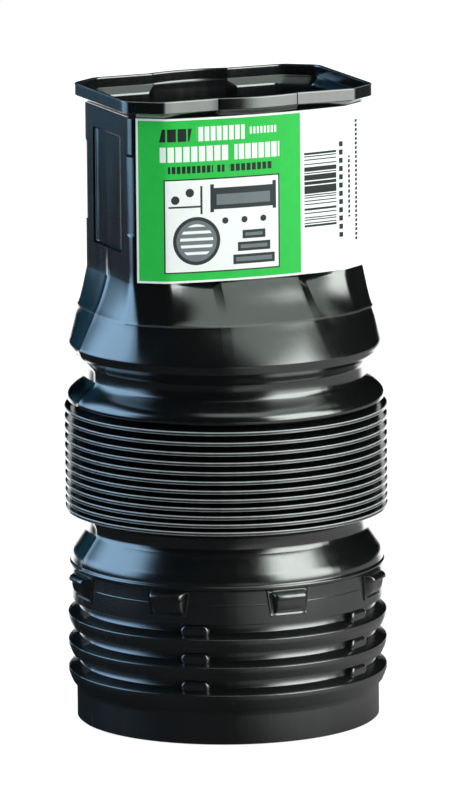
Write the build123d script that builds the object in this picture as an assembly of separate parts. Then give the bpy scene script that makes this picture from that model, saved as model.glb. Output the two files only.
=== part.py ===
"""A flexible downspout adapter: one blow-moulded body with a printed paper label stuck on it.

Millimetres. The origin is the centre of the round skirt's bottom edge and +Z points up to the
rectangular mouth. X runs along the mouth's long sides, and the label is on the -Y side.
"""
import os
from math import atan2, cos, hypot, radians, sin, tan

from build123d import *

# Wall of the blown body.
wall = 1.5

# Round collar that goes into the bell of a 4 inch drain pipe.
skirt_radius = 56.7
skirt_height = 11.5
skirt_step = 2.6
fin_count = 3
fin_pitch = 10.5
fin_foot_radius = 58.4
fin_lip_radius = 59.8
fin_band = 5.1
fin_land = 1.6
fin_top_rise = 2.0
fin_hollow = 1.8
groove_radius = 55.2
groove_undercut = 0.4
collar_radius = 58.3
collar_height = 13.6

# Snap lugs round the collar.
lug_count = 8
lug_reach = 3.6
lug_top_width = 15.0
lug_bottom_width = 11.4
lug_height = 9.0
lug_face = 3.6
lug_face_draft = 0.3
lug_drop = 1.4
lug_rounding = 0.9

# Pads that bridge the grooves between the fins.
pad_angle = 35.0
pad_width = 10.6
pad_height = 4.5
pad_reach = 3.0
pad_drop = 0.6
pad_rounding = 1.6

# Shoulder, lower neck, bellows, bead and upper neck.
lip_reach = 0.9
lip_rise = 0.9
shoulder_inset = 0.3
shoulder_rise = 3.0
shoulder_rounding = 5.0
shoulder_slope_rise = 10.5
lower_neck_radius = 52.4
lower_neck_rounding = 6.0
lower_neck_height = 7.6
ring_count = 12
ring_radius = 60.4
ring_root_radius = 55.9
ring_first_pitch = 2.95
ring_pitch_growth = 0.094
ring_land = 1.3
ring_upper_share = 0.4
ring_skin = 2.3
bead_reach = 7.0
bead_gap = 1.6
bead_land = 2.3
bead_rounding = 3.0
bead_slope_rise = 6.5
upper_neck_radius = 52.4
upper_neck_rounding = 6.5
upper_neck_height = 5.7
crease_slope_rise = 6.1
crease_rounding = 5.0
crease_radius = 58.7
crease_inset = 0.3
crease_land = 1.2

# Flare from round to rectangular. Each step is a share of its height, then the share of the
# way from the sleeve's outline to the circle that its outline has there, along X and Y.
flare_height = 28.0
flare_steps = ((0.48, 0.45, 0.60), (0.78, 0.15, 0.27))
flare_corner_angle = 25.0
flare_facet_angle = 32.0
flare_side_angle = 45.0

# Rectangular sleeve for a 2 by 3 inch downspout, and the rim round its mouth.
sleeve_half_length = 47.0
sleeve_half_width = 30.6
sleeve_height = 62.0
facet_length = 11.2
facet_width = 8.0
corner_radius = 4.5
waist_corner_radius = 7.0
waist_bottom = 17.5
waist_height = 30.1
rim_overhang = 3.0
rim_slope = 2.2
rim_band = 4.4
rim_corner_radius = 6.0

# Bulge down the middle of each long side, and where it widens into the rim.
channel_half_width = 15.5
channel_flank = 3.0
channel_reach = 2.4
channel_crown = 1.3
channel_bottom = 0.5
rim_bulge_reach = 3.4
rim_bulge_crown = 2.2

# Shallow panel in each short side.
panel_width = 27.0
panel_bottom = 10.2
panel_height = 43.5
panel_depth = 1.1

# Printed label: the paper, and one layer of ink on it.
paper = 0.25
ink = 0.12
label_gap = 0.05
label_half_length = 45.0
label_bottom_rise = 0.3
label_top_drop = 0.2
border = 0.8
field_right = 17.0
picture_left = -36.0
picture_right = 8.5
picture_bottom = 3.6
picture_drop = 22.7
frame_line = 0.5

# Bars printed in place of words, each as left, right, drop from the label's top and height.
dark_bars = ((-37.7, -26.2, 3.2, 5.6), (-35.2, 5.2, 18.2, 2.1))
pale_bars = ((-24.2, -5.8, 3.6, 5.0), (-4.2, 6.8, 4.6, 2.6), (-37.7, 8.0, 10.8, 5.4))

# Block of stripes beside the green field: its drop from the label's top, then heights and gaps.
stripes_left = 18.6
stripes_right = 32.4
stripes_drop = 14.8
stripe_heights = (1.6, 0.7, 2.4, 1.2, 0.6, 3.2, 1.0, 1.8, 0.7, 2.2, 1.2, 0.8)
stripe_gap = 1.1

# Heights on the body, each from the one below it.
band_bottom = skirt_height + skirt_step
collar_bottom = band_bottom + fin_count * fin_pitch
collar_top = collar_bottom + collar_height
shoulder_corner = collar_top + shoulder_rise
neck_corner = shoulder_corner + shoulder_slope_rise
ring_bottom = neck_corner + lower_neck_height
ring_top = ring_bottom + ring_first_pitch * (ring_count - 1)
ring_top += ring_pitch_growth * (ring_count - 1) * (ring_count - 2) / 2
ring_top_root = ring_top + ring_upper_share * (ring_first_pitch + ring_pitch_growth * (ring_count - 1))
bead_bottom = ring_top_root + bead_gap
bead_corner = bead_bottom + bead_land
upper_neck_bottom = bead_corner + bead_slope_rise
upper_neck_top = upper_neck_bottom + upper_neck_height
crease_bottom = upper_neck_top + crease_slope_rise
flare_bottom = crease_bottom + crease_land
sleeve_bottom = flare_bottom + flare_height
rim_bottom = sleeve_bottom + sleeve_height
band_foot = rim_bottom + rim_slope
total_height = band_foot + rim_band
label_bottom = sleeve_bottom + label_bottom_rise
label_height = rim_bottom - label_top_drop - label_bottom
picture_height = label_height - picture_drop - picture_bottom
beyond = 5.0


def turned(corners):
    """A solid turned about Z from corners given as radius, height and rounding."""
    points = [(radius, height) for radius, height, rounding in corners]
    roundings = [rounding for radius, height, rounding in corners]
    face = make_face(Plane.XZ * FilletPolyline(*points, radius=roundings, close=True))
    return revolve(face, Axis.Z)


def ring_crests():
    """Each bellows ring's crest height and the height of the root above it."""
    for turn in range(ring_count):
        pitch = ring_first_pitch + ring_pitch_growth * turn
        crest = ring_bottom + ring_first_pitch * turn + ring_pitch_growth * turn * (turn - 1) / 2
        yield crest, crest + ring_upper_share * pitch


def ring_foot(reach):
    """How far below a crest its lower flank is, that far in from the crest."""
    lower_flank = (1 - ring_upper_share) * ring_first_pitch
    return reach * lower_flank / (ring_radius - ring_root_radius)


def round_outside():
    """The outside of the body from the skirt to the crease under the flare."""
    corners = [(0, 0, 0), (skirt_radius, 0, 0), (skirt_radius, skirt_height, 0)]
    for fin in range(fin_count):
        foot = band_bottom + fin * fin_pitch
        lip = foot + fin_band
        corners += [(fin_foot_radius, foot, 0), (fin_lip_radius, lip - fin_land, 0)]
        corners += [(fin_lip_radius, lip, 0), (groove_radius, lip + fin_top_rise, 0)]
        corners += [(groove_radius, foot + fin_pitch + groove_undercut, 0)]
    shoulder_radius = collar_radius + shoulder_inset
    corners += [(collar_radius, collar_bottom, 0), (collar_radius, collar_top - lip_rise, 0)]
    corners += [(collar_radius + lip_reach, collar_top, 0), (shoulder_radius, collar_top + lip_rise, 0)]
    corners += [(shoulder_radius, shoulder_corner, shoulder_rounding)]
    corners += [(lower_neck_radius, neck_corner, lower_neck_rounding)]
    corners += [(lower_neck_radius, ring_bottom - ring_foot(ring_radius - lower_neck_radius), 0)]
    for crest, root in ring_crests():
        corners += [(ring_radius, crest - ring_land / 2, 0), (ring_radius, crest + ring_land / 2, 0)]
        corners += [(ring_root_radius, root, 0)]
    bead_radius = upper_neck_radius + bead_reach
    corners += [(bead_radius, bead_bottom, 0), (bead_radius, bead_corner, bead_rounding)]
    corners += [(upper_neck_radius, upper_neck_bottom, upper_neck_rounding)]
    corners += [(upper_neck_radius, upper_neck_top, crease_rounding)]
    corners += [(crease_radius - crease_inset, crease_bottom, 0), (crease_radius, flare_bottom, 0)]
    corners += [(0, flare_bottom, 0)]
    return turned(corners)


def round_inside():
    """The hollow of the body from below the skirt to the crease under the flare."""
    bore = groove_radius - wall
    bead_bore = upper_neck_radius + bead_reach - wall
    corners = [(0, -beyond, 0), (skirt_radius - wall, -beyond, 0), (skirt_radius - wall, skirt_height, 0)]
    for fin in range(fin_count):
        foot = band_bottom + fin * fin_pitch
        top = foot + fin_band + fin_top_rise - fin_hollow
        corners += [(bore, foot + fin_hollow - wall / 2, 0), (fin_foot_radius - wall, foot + fin_hollow, 0)]
        corners += [(fin_lip_radius - fin_hollow, foot + fin_band - fin_land, 0), (bore, top, 0)]
    corners += [(bore, collar_bottom + wall, 0), (collar_radius - wall, collar_bottom + 2 * wall, 0)]
    corners += [(collar_radius - wall, shoulder_corner - wall / 2, shoulder_rounding)]
    corners += [(lower_neck_radius - wall, neck_corner - wall / 2, lower_neck_rounding)]
    corners += [(lower_neck_radius - wall, ring_bottom - ring_foot(ring_radius - lower_neck_radius), 0)]
    for crest, root in ring_crests():
        corners += [(ring_radius - ring_skin, crest, 0), (ring_root_radius - ring_skin, root, 0)]
    corners += [(bead_bore, bead_bottom + wall / 2, 0)]
    corners += [(bead_bore, bead_corner - wall / 2, 0)]
    corners += [(upper_neck_radius - wall, upper_neck_bottom - wall / 2, upper_neck_rounding)]
    corners += [(upper_neck_radius - wall, upper_neck_top + wall / 2, crease_rounding)]
    corners += [(crease_radius - wall, crease_bottom + wall / 2, 0), (crease_radius - wall, flare_bottom, 0)]
    corners += [(0, flare_bottom, 0)]
    return turned(corners)


def outline(grow, rounding):
    """The sleeve's plan, a rectangle with a facet across each corner, grown by an offset."""
    length = sleeve_half_length + grow
    width = sleeve_half_width + grow
    side = width - facet_width
    end = length - facet_length
    quarter = [(length, side), (end, width)]
    points = quarter + [(-x, y) for x, y in reversed(quarter)]
    points += [(-x, -y) for x, y in points]
    return make_face(FilletPolyline(*points, radius=[rounding, 0, 0, rounding] * 2, close=True))


def flare_outline(height, grow, share_x, share_y):
    """The flare's plan at a height, part of the way from the sleeve's outline to the circle."""
    length = sleeve_half_length + grow
    width = sleeve_half_width + grow
    radius = crease_radius + grow
    slope = atan2(facet_width, facet_length)
    turn = radians(90) - slope
    corner = (length, width - facet_width)
    reach = corner_radius * tan(turn / 2)
    first = (length, corner[1] - reach)
    last = (corner[0] - reach * cos(slope), corner[1] + reach * sin(slope))
    centre = (length - corner_radius, first[1])
    middle = (centre[0] + corner_radius * cos(turn / 2), centre[1] + corner_radius * sin(turn / 2))
    end = (length - facet_length, width)
    angles = (0.0, flare_corner_angle, (flare_corner_angle + flare_facet_angle) / 2, flare_facet_angle)
    angles += ((flare_facet_angle + flare_side_angle) / 2, flare_side_angle, 90.0)
    flat = ((length, 0.0), first, middle, last, ((last[0] + end[0]) / 2, (last[1] + end[1]) / 2), end)
    flat += ((0.0, width),)
    quarter = []
    for (x, y), angle in zip(flat, angles):
        round_x = radius * cos(radians(angle))
        round_y = radius * sin(radians(angle))
        quarter.append((x + (round_x - x) * share_x, y + (round_y - y) * share_y))
    half = quarter + [(-x, y) for x, y in reversed(quarter[:-1])]
    points = half + [(-x, -y) for x, y in half[1:-1]]
    points = [(x, y, height) for x, y in points]
    edges = []
    for index in range(1, len(points), 2):
        start, through, stop = (points[(index + step) % len(points)] for step in range(3))
        run = (stop[0] - start[0], stop[1] - start[1])
        bow = (through[0] - start[0]) * run[1] - (through[1] - start[1]) * run[0]
        bowed = abs(bow) > 1e-6 * hypot(*run)
        edges.append(ThreePointArc(start, through, stop) if bowed else Line(start, stop))
    return make_face(edges)


def flare(grow):
    """The flare as a solid, with its outlines grown by an offset."""
    steps = [(0.0, 1.0, 1.0)] + list(flare_steps) + [(1.0, 0.0, 0.0)]
    sections = []
    for share, share_x, share_y in steps:
        sections.append(flare_outline(flare_bottom + share * flare_height, grow, share_x, share_y))
    return loft(sections, ruled=True)


def channel_plan(inset, reach, crown):
    """The plan of the bulges down both long sides and what lies between them."""
    foot = sleeve_half_width - inset
    ledge = foot + reach
    half = channel_half_width - inset / 2
    side = half + channel_flank
    edges = [Line((side, -foot), (side, foot)), Line((side, foot), (half, ledge))]
    edges += [ThreePointArc((half, ledge), (0, ledge + crown), (-half, ledge))]
    edges += [Line((-half, ledge), (-side, foot)), Line((-side, foot), (-side, -foot))]
    edges += [Line((-side, -foot), (-half, -ledge))]
    edges += [ThreePointArc((-half, -ledge), (0, -ledge - crown), (half, -ledge))]
    edges += [Line((half, -ledge), (side, -foot))]
    return make_face(edges)


def channels(inset, bottom, top):
    """The bulges of both long sides, widening at the rim and carried up to a top height."""
    slim = channel_plan(inset, channel_reach, channel_crown)
    broad = channel_plan(inset, rim_bulge_reach, rim_bulge_crown)
    solid = Pos(0, 0, bottom) * extrude(slim, rim_bottom - bottom)
    solid += loft([Pos(0, 0, rim_bottom) * slim, Pos(0, 0, band_foot) * broad], ruled=True)
    solid += Pos(0, 0, band_foot) * extrude(broad, top - band_foot)
    return solid


def sleeve(inset, top):
    """The sleeve and its rim as a solid, drawn in by an inset and carried up to a top height."""
    waist_start = sleeve_bottom + waist_bottom
    waist_end = waist_start + waist_height
    levels = ((sleeve_bottom, waist_start, corner_radius), (waist_start, waist_end, waist_corner_radius))
    levels += ((waist_end, rim_bottom, corner_radius),)
    solid = None
    for bottom, level_top, rounding in levels:
        piece = Pos(0, 0, bottom) * extrude(outline(-inset, rounding), level_top - bottom)
        solid = piece if solid is None else solid + piece
    narrow = Pos(0, 0, rim_bottom) * outline(-inset, corner_radius)
    wide = Pos(0, 0, band_foot) * outline(rim_overhang - inset, rim_corner_radius)
    solid += loft([narrow, wide], ruled=True)
    solid += Pos(0, 0, band_foot) * extrude(outline(rim_overhang - inset, rim_corner_radius), top - band_foot)
    solid += channels(inset, sleeve_bottom + channel_bottom + inset, top)
    return solid


def panels(depth, shrink):
    """The two shallow panels in the short sides, as solids to take away or leave standing."""
    height = panel_height - 2 * shrink
    block = Box(2 * depth, panel_width - 2 * shrink, height)
    middle = sleeve_bottom + panel_bottom + panel_height / 2
    return [Pos(side * sleeve_half_length, 0, middle) * block for side in (-1, 1)]


def lugs():
    """The snap lugs: a flat ledge above, a rounded face and a ramp down into the wall."""
    top = collar_top - lug_drop
    bottom = top - lug_height
    root = collar_radius - wall / 2
    tip = collar_radius + lug_reach
    side = Polyline((root, bottom), (collar_radius, bottom), (tip - lug_face_draft, top - lug_face),
                    (tip, top), (root, top), close=True)
    half_top = lug_top_width / 2
    half_bottom = lug_bottom_width / 2
    front = Polyline((-half_bottom, bottom), (half_bottom, bottom), (half_top, top), (-half_top, top),
                     close=True)
    block = extrude(make_face(Plane.XZ * side), half_top, both=True)
    trapezoid = extrude(make_face(Plane.YZ * front), tip + wall)
    lug = block & trapezoid
    rim_edges = lug.edges().filter_by(lambda edge: edge.center().X > collar_radius + lug_reach / 2)
    lug = fillet(rim_edges, lug_rounding)
    return [Rot(0, 0, 360 / lug_count * place) * lug for place in range(lug_count)]


def pads():
    """The pads that bridge each groove, the same distance either side of the parting line's normal."""
    root = groove_radius - wall / 2
    tip = groove_radius + pad_reach
    block = Pos((root + tip) / 2, 0, 0) * Box(tip - root, pad_width, pad_height)
    block = fillet(block.edges().filter_by(lambda edge: edge.center().X > tip - 0.01), pad_rounding)
    found = []
    for fin in range(fin_count):
        floor_bottom = band_bottom + fin * fin_pitch + fin_band + fin_top_rise
        floor_top = band_bottom + (fin + 1) * fin_pitch + groove_undercut
        middle = (floor_bottom + floor_top - fin_top_rise / 2) / 2 - pad_drop
        for angle in (90 - pad_angle, 90 + pad_angle, 270 - pad_angle, 270 + pad_angle):
            found.append(Rot(0, 0, angle) * Pos(0, 0, middle) * block)
    return found


def adapter_body():
    """The whole blown body."""
    outside = round_outside() + flare(0) + sleeve(0, total_height)
    for panel in panels(panel_depth, 0):
        outside -= panel
    for piece in lugs() + pads():
        outside += piece
    inside = round_inside() + flare(-wall) + sleeve(wall, total_height + beyond)
    for panel in panels(panel_depth + wall, -wall):
        inside -= panel
    return outside - inside


def label_region(grow):
    """The plan of everything behind the label's back face, grown by an offset."""
    crest = sleeve_half_width + channel_reach + channel_crown
    fold = sleeve_half_length - facet_length
    tail = sleeve_half_length + facet_length
    tail_side = sleeve_half_width - 2 * facet_width
    edges = [Line((-tail, 0), (-tail, -tail_side)), Line((-tail, -tail_side), (-fold, -sleeve_half_width))]
    edges += [ThreePointArc((-fold, -sleeve_half_width), (0, -crest), (fold, -sleeve_half_width))]
    edges += [Line((fold, -sleeve_half_width), (tail, -tail_side)), Line((tail, -tail_side), (tail, 0))]
    edges += [Line((tail, 0), (-tail, 0))]
    return offset(make_face(edges), grow, kind=Kind.INTERSECTION)


def label_block(left, right, bottom, height):
    """A block that picks out a rectangle of the label, measured along X and up from its foot."""
    depth = 2 * sleeve_half_width
    block = Box(right - left, depth, height)
    return Pos((left + right) / 2, -sleeve_half_width - depth / 4, label_bottom + bottom + height / 2) * block


def label_layer(start, thickness):
    """A sheet over the whole label, from a start distance off the body, with a thickness."""
    plan = label_region(start + thickness) - label_region(start)
    return Pos(0, 0, label_bottom) * extrude(plan, label_height)


def label_sheet():
    """The label's paper."""
    whole = label_block(-label_half_length, label_half_length, 0, label_height)
    return label_layer(label_gap, paper) & whole


def picture_frame():
    """The thin dark frame round the picture panel."""
    frame = label_block(picture_left, picture_right, picture_bottom, picture_height)
    inner_left = picture_left + frame_line
    inner_right = picture_right - frame_line
    inner_height = picture_height - 2 * frame_line
    return frame - label_block(inner_left, inner_right, picture_bottom + frame_line, inner_height)


def label_field(layer):
    """The green field, with the picture panel, the pale bars and the dark bars left out of it."""
    left = border - label_half_length
    field = layer & label_block(left, field_right, border, label_height - 2 * border)
    field -= label_block(picture_left, picture_right, picture_bottom, picture_height)
    for left, right, drop, height in dark_bars + pale_bars:
        field -= label_block(left, right, label_height - drop - height, height)
    return field


def label_print(layer):
    """Everything printed dark: bars, the picture's frame and the block of stripes."""
    pieces = [picture_frame()]
    for left, right, drop, height in dark_bars:
        pieces.append(label_block(left, right, label_height - drop - height, height))
    top = label_height - stripes_drop
    for height in stripe_heights:
        pieces.append(label_block(stripes_left, stripes_right, top - height, height))
        top -= height + stripe_gap
    solids = []
    for piece in pieces:
        solids += (layer & piece).solids()
    return Compound(solids)


os.makedirs("parts", exist_ok=True)
ink_layer = label_layer(label_gap + paper, ink)
export_step(adapter_body(), "parts/adapter_body.step")
export_step(label_sheet(), "parts/label_paper.step")
export_step(label_field(ink_layer), "parts/label_green.step")
export_step(label_print(ink_layer), "parts/label_dark_print.step")
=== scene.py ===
import math

import bpy
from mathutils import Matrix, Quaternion, Vector


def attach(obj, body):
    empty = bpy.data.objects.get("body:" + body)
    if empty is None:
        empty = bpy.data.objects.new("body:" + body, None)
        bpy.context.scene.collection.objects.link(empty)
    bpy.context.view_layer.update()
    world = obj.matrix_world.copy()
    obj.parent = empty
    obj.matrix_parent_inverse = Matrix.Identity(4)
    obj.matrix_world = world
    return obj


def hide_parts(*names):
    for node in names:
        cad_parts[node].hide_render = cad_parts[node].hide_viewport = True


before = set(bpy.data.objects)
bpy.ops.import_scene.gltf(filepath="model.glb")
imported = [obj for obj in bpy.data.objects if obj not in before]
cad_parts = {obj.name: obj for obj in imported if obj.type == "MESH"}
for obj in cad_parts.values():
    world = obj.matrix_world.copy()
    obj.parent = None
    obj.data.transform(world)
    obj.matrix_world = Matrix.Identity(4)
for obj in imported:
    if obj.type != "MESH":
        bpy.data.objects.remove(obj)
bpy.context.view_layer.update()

# The body: one piece of black polyethylene, blown in a mould of two halves that part in the XZ
# plane. Its wall is about 1.5 mm, and it is round below and rectangular at the mouth. Each turn
# of its skin is a closed loop of points, from the outside of the skirt over the rim and back down.
MM = 0.001
WALL = 1.5
HALF_LENGTH = 47.0
HALF_WIDTH = 30.6
FACET_LENGTH = 11.2
FACET_WIDTH = 8.0
FACET_SLOPE = math.degrees(math.atan2(FACET_WIDTH, FACET_LENGTH))
FOLD_ROUNDING = 6.0
CORNER_TURN = 90.0 - FACET_SLOPE
ROUNDED_HALF_TURN = 27.2
CORNER_ROUNDING = 4.5
WAIST_ROUNDING = 7.0
CHANNEL_HALF = 15.5
CHANNEL_FLANK = 3.0
CHANNEL_REACH = 2.4
CHANNEL_CROWN = 1.3
CHANNEL_EDGE = 0.7
PANEL_HALF = 13.5
PANEL_DEPTH = 1.1
PANEL_EDGE = 0.6
CREASE_RADIUS = 58.7
CREASE_HEIGHT = 142.9
CORNER_ON_CREASE = 25.0
FACET_ON_CREASE = 45.0
SLEEVE_FOOT = 170.9
PARTING_RIDGE = 0.12
RIDGE_HALF = 0.35
RIDGE_END = 180.0


def arc(centre, radius, start, stop, count):
    """Points along an arc, with angles in degrees, both ends included."""
    points = []
    for step in range(count + 1):
        angle = math.radians(start + (stop - start) * step / count)
        points.append((centre[0] + radius * math.cos(angle), centre[1] + radius * math.sin(angle)))
    return points


def straight(start, stop, count):
    """Points from start up to, but not including, stop."""
    across = stop[0] - start[0]
    up = stop[1] - start[1]
    return [(start[0] + across * step / count, start[1] + up * step / count) for step in range(count)]


def eased(corners, steps=4):
    """A run of corners given as x, y and rounding, with each rounded corner turned into a curve."""
    points = []
    for index, (x, y, rounding) in enumerate(corners):
        if not rounding or index in (0, len(corners) - 1):
            points.append((x, y))
            continue
        corner = Vector((x, y))
        before = Vector(corners[index - 1][:2]) - corner
        after = Vector(corners[index + 1][:2]) - corner
        half = before.angle(after) / 2
        reach = min(rounding / math.tan(half), before.length * 0.49, after.length * 0.49)
        start = corner + before.normalized() * reach
        stop = corner + after.normalized() * reach
        for step in range(steps + 1):
            t = step / steps
            points.append(tuple((1 - t) ** 2 * start + 2 * t * (1 - t) * corner + t * t * stop))
    return points


def swept(start, stop, count):
    """Points along a soft S from start to stop, upright at both ends."""
    points = []
    for step in range(count + 1):
        share = step / count
        blend = 0.5 - 0.5 * math.cos(math.pi * share)
        points.append((start[0] + (stop[0] - start[0]) * blend, start[1] + (stop[1] - start[1]) * share))
    return points


def quarter(grow=0.0, inset=0.0, reach=CHANNEL_REACH, crown=CHANNEL_CROWN, rounding=CORNER_ROUNDING,
            recess=0.0, ridge=0.0):
    """A quarter of the sleeve's plan from +X round to +Y, as points in mm.

    grow moves the flats out, inset draws the channel in, and recess sinks the side panel.
    """
    length = HALF_LENGTH + grow
    width = HALF_WIDTH + grow
    slope = math.radians(FACET_SLOPE)
    tangent = rounding * math.tan(math.radians(CORNER_TURN / 2))
    corner_y = width - FACET_WIDTH - tangent
    end_x = length - FACET_LENGTH
    half = CHANNEL_HALF - inset / 2
    ledge = HALF_WIDTH - inset + reach
    foot = half + CHANNEL_FLANK * (1 - (inset + grow) / max(reach, 0.1))
    panel_x = length - recess
    panel_edge = PANEL_HALF - PANEL_EDGE
    side = [(panel_x + ridge, 0.0), (panel_x, RIDGE_HALF)]
    side += straight((panel_x, 3.0), (panel_x, panel_edge), 3)
    side += [(panel_x, panel_edge), (length - recess * 0.8, PANEL_HALF - 0.2), (length, PANEL_HALF)]
    side += straight((length, PANEL_HALF + 2.0), (length, corner_y), 3)
    corner = arc((length - rounding, corner_y), rounding, 0.0, CORNER_TURN, 7)
    ease = FOLD_ROUNDING * math.tan(slope / 2)
    fold = (end_x + ease * math.cos(slope), width - ease * math.sin(slope))
    facet = straight(corner[-1], fold, 5)[1:]
    facet += arc((end_x - ease, width - FOLD_ROUNDING), FOLD_ROUNDING, CORNER_TURN, 90.0, 5)
    flat = straight((end_x - ease, width), (foot, width), 5)[1:]
    flat += eased([(foot + 2.0, width, 0), (foot, width, CHANNEL_EDGE), (half, ledge, CHANNEL_EDGE),
                   (half - 3.0, ledge + crown * 0.35, 0)], 3)[1:-1]
    radius = (half * half + crown * crown) / (2 * crown) if crown > 0.01 else 1e6
    spread = math.degrees(math.asin((half - 1.5) / radius))
    crest = arc((0.0, ledge + crown - radius), radius, 90.0 - spread, 90.0, 6)
    return side + corner + facet + flat + crest


def crease_angles():
    """Where each point of the quarter goes on the round crease, in degrees from +X."""
    points = quarter()
    end_x = HALF_LENGTH - FACET_LENGTH
    tangent = CORNER_ROUNDING * math.tan(math.radians(ROUNDED_HALF_TURN))
    corner_y = HALF_WIDTH - FACET_WIDTH - tangent
    rounded = [index for index, (x, y) in enumerate(points) if y > corner_y + 0.01 and x > end_x]
    angles = []
    for index, (x, y) in enumerate(points):
        if index in rounded:
            share = (index - rounded[0] + 1) / (len(rounded) + 1)
            angles.append(CORNER_ON_CREASE + (FACET_ON_CREASE - CORNER_ON_CREASE) * share)
        elif x > end_x:
            angles.append(min(CORNER_ON_CREASE, CORNER_ON_CREASE * y / corner_y))
        else:
            angles.append(90.0 - (90.0 - FACET_ON_CREASE) * x / end_x)
    return angles


ANGLES = crease_angles()


def whole(points, height):
    """All four quarters of a plan from its first one, turning anticlockwise, at a height."""
    half = points + [(-x, y) for x, y in reversed(points[:-1])]
    half += [(-x, -y) for x, y in half[1:-1]]
    return [(x, y, height) for x, y in half]


def plan_loop(height, share_x=0.0, share_y=0.0, radius=CREASE_RADIUS, **plan):
    """One loop of the skin: the sleeve's plan moved by shares towards the circle."""
    mixed = []
    for (x, y), angle in zip(quarter(**plan), ANGLES):
        round_x = radius * math.cos(math.radians(angle))
        round_y = radius * math.sin(math.radians(angle))
        mixed.append((x + (round_x - x) * share_x, y + (round_y - y) * share_y))
    return whole(mixed, height)


def round_loop(radius, height, ridge=0.0):
    """One loop of the skin where the body is round."""
    points = []
    for index, angle in enumerate(ANGLES):
        reach = radius + (ridge if index == 0 else 0.0)
        points.append((reach * math.cos(math.radians(angle)), reach * math.sin(math.radians(angle))))
    return whole(points, height)


# Skirt, fins, collar wall and shoulder, as corners of radius, height and rounding. Each loop of
# the skin is kept with a share from 0 to 1 that says how much pale painted highlight it carries.
FIN_COUNT = 3
FIN_FOOT = 14.1
FIN_PITCH = 10.5
profile = [(56.2, 0.0, 0), (56.7, 0.4, 0), (56.7, 11.0, 0.8), (57.0, 12.4, 1.5), (58.4, FIN_FOOT, 0.25)]
for fin in range(FIN_COUNT):
    foot = FIN_FOOT + FIN_PITCH * fin
    if fin:
        profile += [(58.4, foot, 0.25)]
    profile += [(58.9, foot + 1.3, 0), (59.05, foot + 1.5, 0), (59.7, foot + 3.3, 0.3)]
    profile += [(59.8, foot + 4.9, 0.35), (59.3, foot + 5.25, 0.3), (55.5, foot + 7.0, 0.6)]
    profile += [(55.2, foot + 8.2, 0), (55.2, foot + 10.6, 0.3), (58.1, foot + 10.45, 0)]
profile += [(58.3, 45.8, 0.3), (58.3, 52.75, 0), (58.45, 52.95, 0), (58.45, 53.1, 0), (58.3, 53.3, 0)]
profile += [(58.3, 58.1, 0.5), (59.1, 58.9, 0.45), (59.15, 59.6, 0.45), (58.5, 60.3, 0.5), (58.5, 60.9, 0)]
shoulder = eased([(58.5, 58.8, 0), (58.5, 63.1, 7.0), (52.4, 71.9, 4.0), (52.4, 74.4, 0)], 8)[1:-1]
shoulder += [(52.45, 74.4), (52.65, 75.2), (53.05, 76.2), (53.6, 77.2)]
skin = []
for radius, height in eased(profile, 3) + shoulder:
    skin.append((round_loop(radius, height, PARTING_RIDGE), 0.0))

# Bellows: twelve rings with narrow flat crests, closer together below. A ring's edge is given by
# how far in and up it is from the middle of the crest and its share of pale painted highlight, and
# the bend above it by how far in it is from the crest and how far up from the root.
RING_COUNT = 12
CREST_RADIUS = 60.4
FIRST_CREST = 80.3
FIRST_PITCH = 2.95
PITCH_GROWTH = 0.094
ROOT_SHARE = 0.4
pitches = [FIRST_PITCH + PITCH_GROWTH * turn for turn in range(RING_COUNT)]
crests = [FIRST_CREST + sum(pitches[:turn]) for turn in range(RING_COUNT)]
# The third number of each point is its share of painted highlight: pale lines along the crest's edges.
ring_edge = ((0.45, -0.70, 0.0), (0.12, -0.64, 0.6), (0.0, -0.48, 0.5), (0.0, -0.28, 0.06), (0.04, 0.0, 0.06),
             (0.0, 0.26, 0.1), (0.0, 0.46, 0.9), (0.12, 0.64, 1.0), (0.45, 0.69, 0.0))
root_bend = ((4.1, -0.08), (4.6, 0.02), (4.3, 0.16))
for crest, pitch in zip(crests, pitches):
    for inward, up, highlight_share in ring_edge:
        skin.append((round_loop(CREST_RADIUS - inward, crest + up), highlight_share))
    for inward, up in root_bend:
        skin.append((round_loop(CREST_RADIUS - inward, crest + ROOT_SHARE * pitch + up), 0.0))

# Bead, upper neck and the crease under the flare, as radius and height.
profile = [(58.4, 120.7), (59.1, 121.1), (59.33, 121.5), (59.4, 122.0)]
profile += swept((59.4, 122.3), (52.4, 130.6), 14) + swept((52.4, 133.6), (58.2, 141.3), 10)
profile += [(58.55, 141.75), (58.7, 142.2), (CREASE_RADIUS, CREASE_HEIGHT)]
for radius, height in profile:
    skin.append((round_loop(radius, height, PARTING_RIDGE), 0.0))

# Flare: its loops by their share of the height, how far each still is towards the circle along X
# and along Y, and how much of the channel down each long side shows. The channel fades out at
# the seam, where the skin has a low step and a thin line of painted highlight.
SEAM_SHARE = 0.475
SEAM_STEP = 0.16
# The seam's loop carries a thin line of painted highlight.
SEAM_HIGHLIGHT = 0.12
flare = ((0.03, 0.965, 0.978, 0.0), (0.12, 0.86, 0.91, 0.0), (0.24, 0.72, 0.81, 0.0), (0.36, 0.58, 0.71, 0.0),
         (0.455, 0.473, 0.622, 0.03), (SEAM_SHARE, 0.45, 0.60, 0.05), (0.495, 0.428, 0.577, 0.08),
         (0.56, 0.352, 0.497, 0.18), (0.64, 0.267, 0.404, 0.33), (0.72, 0.192, 0.318, 0.5),
         (0.80, 0.127, 0.232, 0.68), (0.87, 0.075, 0.152, 0.84), (0.93, 0.034, 0.08, 0.94),
         (0.97, 0.01, 0.03, 1.0))
for share, share_x, share_y, channel in flare:
    height = CREASE_HEIGHT + (SLEEVE_FOOT - CREASE_HEIGHT) * share
    step = SEAM_STEP if share == SEAM_SHARE else 0.0
    loop = plan_loop(height, share_x, share_y, CREASE_RADIUS + step, grow=step, inset=-step,
                     reach=CHANNEL_REACH * channel, crown=CHANNEL_CROWN * channel, ridge=PARTING_RIDGE)
    skin.append((loop, SEAM_HIGHLIGHT if step else 0.0))

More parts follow.
